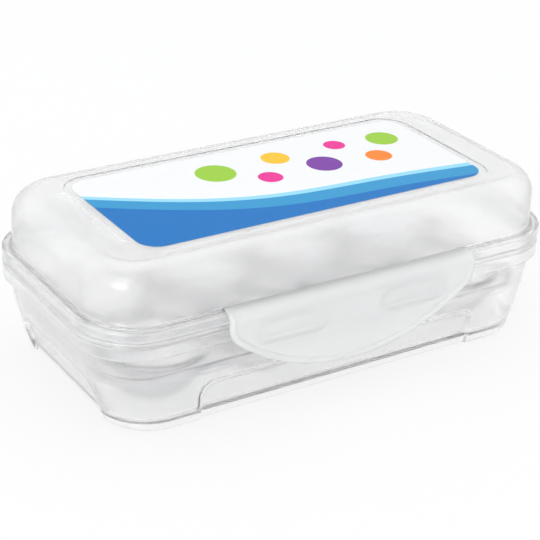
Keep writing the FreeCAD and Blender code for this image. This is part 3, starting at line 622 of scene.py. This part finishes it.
def clip_edge():
    """Points (x, height) of the D inside its border, each with its outward direction."""
    across = CLIP_HALF - CLIP_CORNER
    centre = CLIP_BOTTOM + CLIP_ARC
    lift = math.sqrt((CLIP_ARC - CLIP_CORNER) ** 2 - across ** 2)
    lean = math.degrees(math.atan2(across, lift))
    runs = (((-across, centre - lift), CLIP_CORNER, spread(180.0, 270.0 - lean, 12)),
            ((0.0, centre), CLIP_ARC, spread(270.0 - lean, 270.0 + lean, 48)[1:-1]),
            ((across, centre - lift), CLIP_CORNER, spread(270.0 + lean, 360.0, 12)))
    points = []
    for middle, radius, angles in runs:
        for angle in angles:
            c, s = math.cos(math.radians(angle)), math.sin(math.radians(angle))
            reach = radius - CLIP_BORDER
            points.append((middle[0] + reach * c, middle[1] + reach * s, c, s))
    return points


def border_rings():
    """Points (distance in from the outline, height off the middle) of a plain and a beaded edge.

    A plain edge is given for a sheet of unit half thickness.
    """
    inner, outer = CLIP_PLAIN_LINES
    plain = [(inner, 1.0), (outer, 1.0)]
    plain += [(1.0 - math.cos(angle), math.sin(angle)) for angle in spread(QUARTER_TURN, -QUARTER_TURN, 10)]
    plain += [(outer, -1.0), (inner, -1.0)]
    half = (CLIP_FRONT - CLIP_BACK) / 2
    first = math.asin(half / CLIP_BEAD)
    bead = [(CLIP_BEAD_LINE * CLIP_BORDER, half)]
    for angle in spread(first, 2 * math.pi - first, 12):
        bead.append((CLIP_BEAD_INSET + CLIP_BEAD * math.cos(angle), CLIP_BEAD * math.sin(angle)))
    bead.append((CLIP_BEAD_LINE * CLIP_BORDER, -half))
    return plain, bead


def clip_skin():
    """Front and back sheets over the roll and the D, joined round the border and the thin edge."""
    mesh = bmesh.new()
    profile = clip_profile()
    edge = clip_edge()
    plain, bead = border_rings()

    def vert(x, out, height):
        return mesh.verts.new(Vector((x, -out, height)) * MM)

    def column(x, low, face, out):
        rows = [vert(x, *pair[face]) for pair in profile]
        top = profile[-1][face][1]
        return rows + [vert(x, out, z) for z in spread(top, low, CLIP_PLATE_ROWS)[1:]]

    front = [column(x, z, 0, CLIP_FRONT) for x, z, c, s in edge]
    back = [column(x, z, 1, CLIP_BACK) for x, z, c, s in edge]
    brow = []
    around = turned((-CLIP_AXIS[0], CLIP_AXIS[1]), CLIP_WEB / 2, 120.0, 240.0, 2)
    for point in edge:
        brow.append([vert(point[0], out, height) for out, height in around])
    for step in range(len(edge) - 1):
        beside = step + 1
        for sheet in (front, back):
            for row in range(len(sheet[0]) - 1):
                mesh.faces.new((sheet[step][row], sheet[beside][row],
                                sheet[beside][row + 1], sheet[step][row + 1]))
        here = [front[step][0]] + brow[step] + [back[step][0]]
        after = [front[beside][0]] + brow[beside] + [back[beside][0]]
        for row in range(len(here) - 1):
            mesh.faces.new((here[row], after[row], after[row + 1], here[row + 1]))
    # The border runs down the left side, along the D and up the right side
    rows = len(front[0])
    last = len(edge) - 1
    chain = [(0, row, (-1.0, 0.0)) for row in range(rows - 1)]
    chain += [(step, rows - 1, edge[step][2:]) for step in range(len(edge))]
    chain += [(last, row, (1.0, 0.0)) for row in reversed(range(rows - 1))]
    rings = []
    for step, row, (c, s) in chain:
        ahead, behind = front[step][row].co, back[step][row].co
        middle = (ahead + behind) / 2
        half = (ahead - behind).length / 2
        normal = (ahead - behind).normalized()
        outward = Vector((c, 0.0, s))
        share = smooth_step((row / (len(profile) - 1) - CLIP_BEAD_START) / CLIP_BEAD_SPAN)
        ring = []
        for place, (smooth_in, smooth_off), (bead_in, bead_off) in zip(range(len(bead)), plain, bead):
            wide = 2 <= place < len(bead) - 2
            flat_in = smooth_in * half / MM if wide else smooth_in * CLIP_BORDER
            inward = flat_in + (bead_in - flat_in) * share
            off = smooth_off * half / MM + (bead_off - smooth_off * half / MM) * share
            ring.append(mesh.verts.new(middle + outward * (CLIP_BORDER - inward) * MM + normal * off * MM))
        rings.append([front[step][row]] + ring + [back[step][row]])
    for ring, after in zip(rings, rings[1:]):
        for place in range(len(ring) - 1):
            mesh.faces.new((ring[place], after[place], after[place + 1], ring[place + 1]))
    for ring, ends in ((rings[0], brow[0]), (rings[-1], brow[-1])):
        mesh.faces.new(ring)
        mesh.faces.new([ring[0]] + ends + [ring[-1]])
    return finished("clip_skin", mesh)


def clip_pieces():
    """The clip's sheet, then its two hook pads with their noses."""
    pieces = [clip_skin()]
    inner, outer, low, high = HOOK_PAD
    root = (CLIP_FRONT + CLIP_BACK) / 2
    nose_low = low + GAP
    nose_middle = (nose_low + HOOK_NOSE_TOP) / 2
    nose_round = (HOOK_NOSE_TOP - nose_low) / 2
    nose = [(-HOOK_PAD_BACK - EDGE_ROUND, HOOK_NOSE_TOP), (-HOOK_PAD_BACK - EDGE_ROUND, nose_low)]
    nose += turned((-HOOK_NOSE_BACK - nose_round, nose_middle), nose_round, -90.0, 90.0, 8)
    for side, start, end in (("left", -outer, -inner), ("right", inner, outer)):
        pieces.append(prism(
            "hook_pad_" + side, rounded_box(start, end, low, high, HOOK_PAD_CORNER),
            lambda x, z, out: (x, -out, z), root, HOOK_PAD_BACK, EDGE_ROUND))
        margin = HOOK_PAD_CORNER + GAP
        pieces.append(bar("hook_nose_" + side, nose, start + margin, end - margin, EDGE_ROUND))
    return pieces


def bowl(low, high, radius, count):
    """Points (distance from the cup's middle, height) up a wall that bulges outwards."""
    chord = Vector(high) - Vector(low)
    reach = math.sqrt(radius ** 2 - (chord.length / 2) ** 2)
    across = chord.normalized()
    centre = (Vector(low) + Vector(high)) / 2 + Vector((-across.y, across.x)) * reach
    first, last = Vector(low) - centre, Vector(high) - centre
    start = math.degrees(math.atan2(first.y, first.x))
    end = math.degrees(math.atan2(last.y, last.x))
    return turned(centre, radius, start, end, count)


def cell_rim(outer, inset):
    """Points round a cup's share of the tray, each with whether it lies on the tray's edge."""
    low_x = CUP_PITCH[0] if outer else 0.0
    high_x = TRAY_HALF[0] - inset if outer else CUP_PITCH[0]
    high_y = TRAY_HALF[1] - inset
    corner = TRAY_CORNER - inset if outer else 0.0
    centre = (high_x - corner, high_y - corner)
    points = [(x, 0.0, False) for x in spread(low_x, high_x, 14)[:-1]]
    points += [(high_x, y, outer) for y in spread(0.0, centre[1], 14)]
    if outer:
        points += [(x, y, True) for x, y in turned(centre, corner, 0.0, 90.0, 12)[1:]]
    points += [(x, high_y, True) for x in spread(centre[0], low_x, 14)[1:]]
    points += [(low_x, y, False) for y in spread(high_y, 0.0, 14)[1:-1]]
    return points


def tray_edge(inset):
    """Points of the tray's edge, in order round it."""
    found = {}
    for outer in (False, True):
        for rim, inner in zip(cell_rim(outer, 0.0), cell_rim(outer, inset)):
            for turn_x, turn_y in QUARTERS:
                if rim[2]:
                    angle = math.atan2(turn_y * rim[1], turn_x * rim[0]) % (2 * math.pi)
                    found[round(angle, 5)] = (turn_x * inner[0], turn_y * inner[1])
    return [found[angle] for angle in sorted(found)]


def tray_sheet(mesh, profile, inset, z):
    """One face of the tray: in each quarter two cups, each drawn out from its middle to its rim."""
    for outer in (False, True):
        middle = Vector((CUP_PITCH[0] * (1.5 if outer else 0.5), CUP_PITCH[1] / 2))
        rim = [Vector((x, y)) for x, y, on_edge in cell_rim(outer, inset)]
        outward = [(point - middle).normalized() for point in rim]
        for turn_x, turn_y in QUARTERS:
            rings = [([middle + way * radius for way in outward], height) for radius, height in profile]
            rows = []
            for ring, height in rings + [(rim, z)]:
                points = [Vector((turn_x * place.x, turn_y * place.y, height)) for place in ring]
                rows.append([mesh.verts.new(point * MM) for point in points])
            mesh.faces.new(rows[0])
            join_rows(mesh, rows)


def tray_skin():
    """The tray with its eight cups: an upper and an under face, joined round the hanging skirt."""
    mesh = bmesh.new()
    lip_top = TRAY_TOP + CUP_LIP_HEIGHT
    low_radius, high_radius = CUP_RADII
    inner_low = (low_radius - CUP_WALL, CUP_FOOT + CUP_WALL)
    inner_high = (high_radius - CUP_WALL, lip_top)
    inside = [(inner_low[0] / 2, inner_low[1]), (inner_low[0] - TRAY_EDGE, inner_low[1])]
    inside += bowl(inner_low, inner_high, CUP_ARC - CUP_WALL, 12)[:-1]
    lip_round = CUP_LIP_HEIGHT / 2
    inside += turned((inner_high[0] + lip_round, lip_top - lip_round), lip_round, 180.0, 90.0, 4)
    inside += turned((CUP_LIP_RADIUS - lip_round, lip_top - lip_round), lip_round, 90.0, 0.0, 4)
    inside.append((CUP_LIP_RADIUS + lip_round / 4, TRAY_TOP))
    tray_sheet(mesh, inside, TRAY_EDGE, TRAY_TOP)
    under = TRAY_TOP - TRAY_PLATE
    outside = [(low_radius / 2, CUP_FOOT), (low_radius - TRAY_EDGE, CUP_FOOT)]
    outside += bowl((low_radius, CUP_FOOT), (high_radius, TRAY_TOP), CUP_ARC, 12)[:-1]
    outside = [point for point in outside if point[1] < under - TRAY_EDGE]
    outside += [(outside[-1][0] + TRAY_EDGE, under - TRAY_EDGE / 3), (outside[-1][0] + 2 * TRAY_EDGE, under)]
    tray_sheet(mesh, outside, TRAY_SKIRT_WALL, under)
    edge = [(TRAY_EDGE * (1 - math.cos(angle)), TRAY_TOP - TRAY_EDGE * (1 - math.sin(angle)))
            for angle in spread(QUARTER_TURN, 0.0, 4)]
    half = TRAY_SKIRT_WALL / 2
    edge += [(half - half * math.cos(angle), TRAY_SKIRT_BOTTOM + half * (1 - math.sin(angle)))
             for angle in spread(0.0, math.pi, 8)]
    edge.append((TRAY_SKIRT_WALL, under))
    rows = []
    for inset, z in edge:
        rows.append([mesh.verts.new(Vector((x, y, z)) * MM) for x, y in tray_edge(inset)])
    join_rows(mesh, rows)
    item = finished("tray_skin", mesh)
    keep_flats(item)
    return item


def joined(base, extras):
    """One skin round the base and the extras, with no faces left inside it."""
    for extra in extras:
        union = base.modifiers.new("join " + extra.name, "BOOLEAN")
        union.operation = "UNION"
        union.solver = "EXACT"
        union.object = extra
    skin = bmesh.new()
    skin.from_object(base, bpy.context.evaluated_depsgraph_get())
    seams = [edge for edge in skin.edges if edge.is_boundary]
    bmesh.ops.holes_fill(skin, edges=seams, sides=4)
    bmesh.ops.recalc_face_normals(skin, faces=skin.faces)
    base.modifiers.clear()
    skin.to_mesh(base.data)
    skin.free()
    for extra in extras:
        bpy.data.objects.remove(extra)
    keep_flats(base)
    return base


tub = tub_skin()
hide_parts("base_tub")
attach(tub, "tub")
lid = lid_skin()
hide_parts("lid_shell")
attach(lid, "lid")
for item in (tub, lid):
    keep_flats(item)
hinge_on_tub, hinge_on_lid = hinge_pieces()
lid_pieces = hinge_on_lid + [clip_seat()]
clip_parts = clip_pieces()
clip = joined(clip_parts[0], clip_parts[1:])
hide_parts("front_clip")
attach(clip, "clip")
tray = tray_skin()
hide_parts("egg_tray", *[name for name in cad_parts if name.startswith("egg_cup_")])
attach(tray, "tray")
for item in hinge_on_tub:
    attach(item, "tub")
for item in lid_pieces:
    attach(item, "lid")


def node_tree(name):
    """A new material with its node tree and its main shader."""
    material = bpy.data.materials.new(name)
    material.use_nodes = True
    tree = material.node_tree
    shader = next(node for node in tree.nodes if node.type == "BSDF_PRINCIPLED")
    return material, tree, shader


def link(tree, source, output, target, socket):
    """Joins two nodes by the names of their sockets."""
    tree.links.new(source.outputs[output], target.inputs[socket])


def arithmetic(tree, operation, first, second):
    """A math node; each operand is a socket or a number."""
    node = tree.nodes.new("ShaderNodeMath")
    node.operation = operation
    for slot, operand in enumerate((first, second)):
        if isinstance(operand, bpy.types.NodeSocket):
            tree.links.new(operand, node.inputs[slot])
        else:
            node.inputs[slot].default_value = operand
    return node.outputs["Value"]


def clear_plastic(name, pale, deep, transmission, smooth, rough, grain):
    """Translucent moulded plastic: a faint cloudiness, uneven polish and a fine moulded grain."""
    material, tree, shader = node_tree(name)
    place = tree.nodes.new("ShaderNodeTexCoord")
    cloud = tree.nodes.new("ShaderNodeTexNoise")
    cloud.inputs["Scale"].default_value = CLOUD_SCALE
    cloud.inputs["Detail"].default_value = 3.0
    link(tree, place, "Object", cloud, "Vector")
    tint = tree.nodes.new("ShaderNodeValToRGB")
    tint.color_ramp.elements[0].position = CLOUD_RANGE[0]
    tint.color_ramp.elements[0].color = (*deep, 1.0)
    tint.color_ramp.elements[1].position = CLOUD_RANGE[1]
    tint.color_ramp.elements[1].color = (*pale, 1.0)
    link(tree, cloud, "Fac", tint, "Fac")
    link(tree, tint, "Color", shader, "Base Color")
    polish = tree.nodes.new("ShaderNodeTexNoise")
    polish.inputs["Scale"].default_value = POLISH_SCALE
    polish.inputs["Detail"].default_value = 4.0
    link(tree, place, "Object", polish, "Vector")
    gloss = tree.nodes.new("ShaderNodeMapRange")
    gloss.inputs["To Min"].default_value = smooth
    gloss.inputs["To Max"].default_value = rough
    link(tree, polish, "Fac", gloss, "Value")
    link(tree, gloss, "Result", shader, "Roughness")
    pores = tree.nodes.new("ShaderNodeTexNoise")
    pores.inputs["Scale"].default_value = PORE_SCALE
    pores.inputs["Detail"].default_value = 2.0
    link(tree, place, "Object", pores, "Vector")
    bump = tree.nodes.new("ShaderNodeBump")
    bump.inputs["Strength"].default_value = grain
    bump.inputs["Distance"].default_value = PORE_DEPTH * MM
    link(tree, pores, "Fac", bump, "Height")
    link(tree, bump, "Normal", shader, "Normal")
    # Painted highlight: tight bends are made milkier, so that rims and edges show as pale highlight lines
    form = tree.nodes.new("ShaderNodeNewGeometry")
    bend = arithmetic(tree, "ABSOLUTE", arithmetic(tree, "SUBTRACT", form.outputs["Pointiness"], 0.5), 0.0)
    painted_edge_highlight = tree.nodes.new("ShaderNodeMapRange")
    painted_edge_highlight.inputs["From Min"].default_value = BEND_RANGE[0]
    painted_edge_highlight.inputs["From Max"].default_value = BEND_RANGE[1]
    painted_edge_highlight.inputs["To Min"].default_value = transmission
    painted_edge_highlight.inputs["To Max"].default_value = EDGE_HIGHLIGHT_TRANSMISSION
    tree.links.new(bend, painted_edge_highlight.inputs["Value"])
    link(tree, painted_edge_highlight, "Result", shader, "Transmission Weight")
    shader.inputs["IOR"].default_value = PLASTIC_IOR
    return material


LID = clear_plastic(
    "lid_plastic_look", (1.0, 1.0, 1.0), (0.992, 0.996, 1.0), 0.982, 0.0, 0.03, 0.4)
TUB = clear_plastic(
    "tub_plastic_look", (1.0, 1.0, 1.0), (0.993, 0.997, 1.0), 0.99, 0.0, 0.03, 0.4)
CLIP = clear_plastic(
    "clip_plastic_look", (1.0, 1.0, 1.0), (0.995, 0.995, 0.99), 0.5, 0.03, 0.08, 1.0)
TRAY = clear_plastic(
    "tray_plastic_look", (1.0, 1.0, 1.0), (0.988, 0.988, 0.997), 0.96, 0.0, 0.05, 0.5)


def inked(tree, paper, depth, colour):
    """Lays a colour over the paper where a depth in metres is above zero, with a crisp edge."""
    edge = tree.nodes.new("ShaderNodeMapRange")
    edge.inputs["From Min"].default_value = -PRINT_EDGE * MM
    edge.inputs["From Max"].default_value = PRINT_EDGE * MM
    tree.links.new(depth, edge.inputs["Value"])
    mix = tree.nodes.new("ShaderNodeMix")
    mix.data_type = "RGBA"
    tree.links.new(edge.outputs["Result"], mix.inputs[0])
    sockets = [socket for socket in mix.inputs if socket.type == "RGBA"]
    tree.links.new(paper, sockets[0])
    sockets[1].default_value = (*colour, 1.0)
    return next(socket for socket in mix.outputs if socket.type == "RGBA")


def label_print(name):
    """White film printed with a blue sweep and a scatter of plain coloured discs."""
    material, tree, shader = node_tree(name)
    place = tree.nodes.new("ShaderNodeTexCoord")
    axes = tree.nodes.new("ShaderNodeSeparateXYZ")
    link(tree, place, "Object", axes, "Vector")
    x, y = axes.outputs["X"], axes.outputs["Y"]
    fibre = tree.nodes.new("ShaderNodeTexNoise")
    fibre.inputs["Scale"].default_value = FILM_FIBRES
    fibre.inputs["Detail"].default_value = 3.0
    link(tree, place, "Object", fibre, "Vector")
    film = tree.nodes.new("ShaderNodeValToRGB")
    for element, white in zip(film.color_ramp.elements, FILM_WHITES):
        element.color = (*white, 1.0)
    link(tree, fibre, "Fac", film, "Fac")
    colour = film.outputs["Color"]
    # The sweep is deep at the left end and thins out to the right along the front edge
    from_right = arithmetic(tree, "SUBTRACT", LABEL_HALF[0] * MM, x)
    share = arithmetic(tree, "DIVIDE", from_right, 2 * LABEL_HALF[0] * MM)
    rise = arithmetic(tree, "MULTIPLY", arithmetic(tree, "POWER", share, SWEEP_BEND), SWEEP_RISE * MM)
    ripple = arithmetic(tree, "SINE", arithmetic(tree, "MULTIPLY", share, SWEEP_RIPPLES), 0.0)
    wave = arithmetic(tree, "MULTIPLY", ripple, SWEEP_RIPPLE_HEIGHT * MM)
    crest = arithmetic(tree, "ADD", arithmetic(tree, "ADD", rise, wave), (SWEEP_FOOT - LABEL_HALF[1]) * MM)
    below = arithmetic(tree, "SUBTRACT", crest, y)
    light, main, deep = SWEEP_INKS
    colour = inked(tree, colour, arithmetic(tree, "ADD", below, SWEEP_LINE * MM), light)
    colour = inked(tree, colour, below, main)
    colour = inked(tree, colour, arithmetic(tree, "SUBTRACT", below, SWEEP_DEEP * MM), deep)
    for across, along, radius, ink in DISCS:
        gap = tree.nodes.new("ShaderNodeVectorMath")
        gap.operation = "DISTANCE"
        link(tree, place, "Object", gap, 0)
        gap.inputs[1].default_value = (across * MM, along * MM, (LID_TOP - LABEL_DEPTH / 2) * MM)
        colour = inked(tree, colour, arithmetic(tree, "SUBTRACT", radius * MM, gap.outputs["Value"]), ink)
    # Only the upper face is printed
    facing = tree.nodes.new("ShaderNodeSeparateXYZ")
    link(tree, place, "Normal", facing, "Vector")
    under = arithmetic(tree, "MULTIPLY", facing.outputs["Z"], -MM)
    colour = inked(tree, colour, under, FILM_UNDERSIDE)
    tree.links.new(colour, shader.inputs["Base Color"])
    sheen = tree.nodes.new("ShaderNodeMapRange")
    sheen.inputs["To Min"].default_value = FILM_ROUGHNESS[0]
    sheen.inputs["To Max"].default_value = FILM_ROUGHNESS[1]
    link(tree, fibre, "Fac", sheen, "Value")
    link(tree, sheen, "Result", shader, "Roughness")
    shader.inputs["Specular IOR Level"].default_value = FILM_SPECULAR
    return material


LABEL = label_print("label_print")


def set_material(item, material):
    """Gives an object one material."""
    item.data.materials.clear()
    item.data.materials.append(material)


for item in [tub] + hinge_on_tub:
    set_material(item, TUB)
for item in [lid] + lid_pieces:
    set_material(item, LID)
set_material(tray, TRAY)
set_material(clip, CLIP)
set_material(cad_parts["top_label"], LABEL)

# White table with a faint shadow, and white surroundings
scene = bpy.context.scene
scene.view_settings.view_transform = "Standard"
scene.cycles.max_bounces = 48
scene.cycles.transmission_bounces = 48
scene.cycles.glossy_bounces = 32
scene.cycles.diffuse_bounces = 16


def shown_white(tree, rest, white):
    """Mixes in plain white where the camera sees a surface, straight, mirrored or through plastic."""
    path = tree.nodes.new("ShaderNodeLightPath")
    seen = path.outputs["Is Camera Ray"]
    for ray in ("Is Transmission Ray", "Is Glossy Ray"):
        seen = arithmetic(tree, "MAXIMUM", seen, path.outputs[ray])
    mix = tree.nodes.new("ShaderNodeMixShader")
    tree.links.new(seen, mix.inputs["Fac"])
    tree.links.new(rest, mix.inputs[1])
    tree.links.new(white, mix.inputs[2])
    return mix


world = bpy.data.worlds.new("studio")
scene.world = world
world.cycles.sampling_method = "NONE"
world.use_nodes = True
tree = world.node_tree
tree.nodes.clear()
ambient = tree.nodes.new("ShaderNodeBackground")
ambient.inputs["Color"].default_value = (*AMBIENT, 1.0)
ambient.inputs["Strength"].default_value = 1.0
backdrop = tree.nodes.new("ShaderNodeBackground")
backdrop.inputs["Color"].default_value = (1.0, 1.0, 1.0, 1.0)
backdrop.inputs["Strength"].default_value = 1.0
mixed = shown_white(tree, ambient.outputs["Background"], backdrop.outputs["Background"])
surface = tree.nodes.new("ShaderNodeOutputWorld")
link(tree, mixed, "Shader", surface, "Surface")

floor_mesh = bpy.data.meshes.new("floor")
floor_corners = [(x * FLOOR_HALF, y * FLOOR_HALF, 0) for x, y in ((-1, -1), (1, -1), (1, 1), (-1, 1))]
floor_mesh.from_pydata(floor_corners, [], [(0, 1, 2, 3)])
floor = bpy.data.objects.new("floor", floor_mesh)
scene.collection.objects.link(floor)
floor_material = bpy.data.materials.new("white_table")
floor_material.use_nodes = True
floor_material.cycles.emission_sampling = "NONE"
tree = floor_material.node_tree
tree.nodes.clear()
matte = tree.nodes.new("ShaderNodeBsdfDiffuse")
matte.inputs["Color"].default_value = (FLOOR_GREY, FLOOR_GREY, FLOOR_GREY, 1.0)
glow = tree.nodes.new("ShaderNodeEmission")
glow.inputs["Strength"].default_value = 1.0
shadowed = tree.nodes.new("ShaderNodeMixShader")
shadowed.inputs["Fac"].default_value = SHADOW_SHARE
tree.links.new(glow.outputs["Emission"], shadowed.inputs[1])
tree.links.new(matte.outputs["BSDF"], shadowed.inputs[2])
mixed = shown_white(tree, matte.outputs["BSDF"], shadowed.outputs["Shader"])
surface = tree.nodes.new("ShaderNodeOutputMaterial")
link(tree, mixed, "Shader", surface, "Surface")
floor_mesh.materials.append(floor_material)


def softbox(name, place, target, width, height, power):
    """A rectangular lamp aimed at a target, in metres and watts."""
    data = bpy.data.lights.new(name, "AREA")
    data.shape = "RECTANGLE"
    data.size, data.size_y = width, height
    data.energy = power
    item = bpy.data.objects.new(name, data)
    item.location = place
    item.rotation_mode = "QUATERNION"
    item.rotation_quaternion = (Vector(target) - Vector(place)).to_track_quat("-Z", "Y")
    scene.collection.objects.link(item)


for lamp in LAMPS:
    softbox(*lamp)

camera_data = bpy.data.cameras.new("camera")
camera_data.sensor_width = SENSOR
camera_data.lens = SENSOR * FOCAL_PIXELS / FRAME_PIXELS
camera_data.clip_start = 0.01
camera = bpy.data.objects.new("camera", camera_data)
camera.location = Vector(CAMERA_PLACE) * MM
turn = Matrix.Rotation(-CAMERA_YAW, 4, "Z") @ Matrix.Rotation(QUARTER_TURN - CAMERA_PITCH, 4, "X")
camera.matrix_world = Matrix.Translation(camera.location) @ turn @ Matrix.Rotation(CAMERA_ROLL, 4, "Z")
scene.collection.objects.link(camera)
scene.camera = camera

bpy.context.view_layer.update()
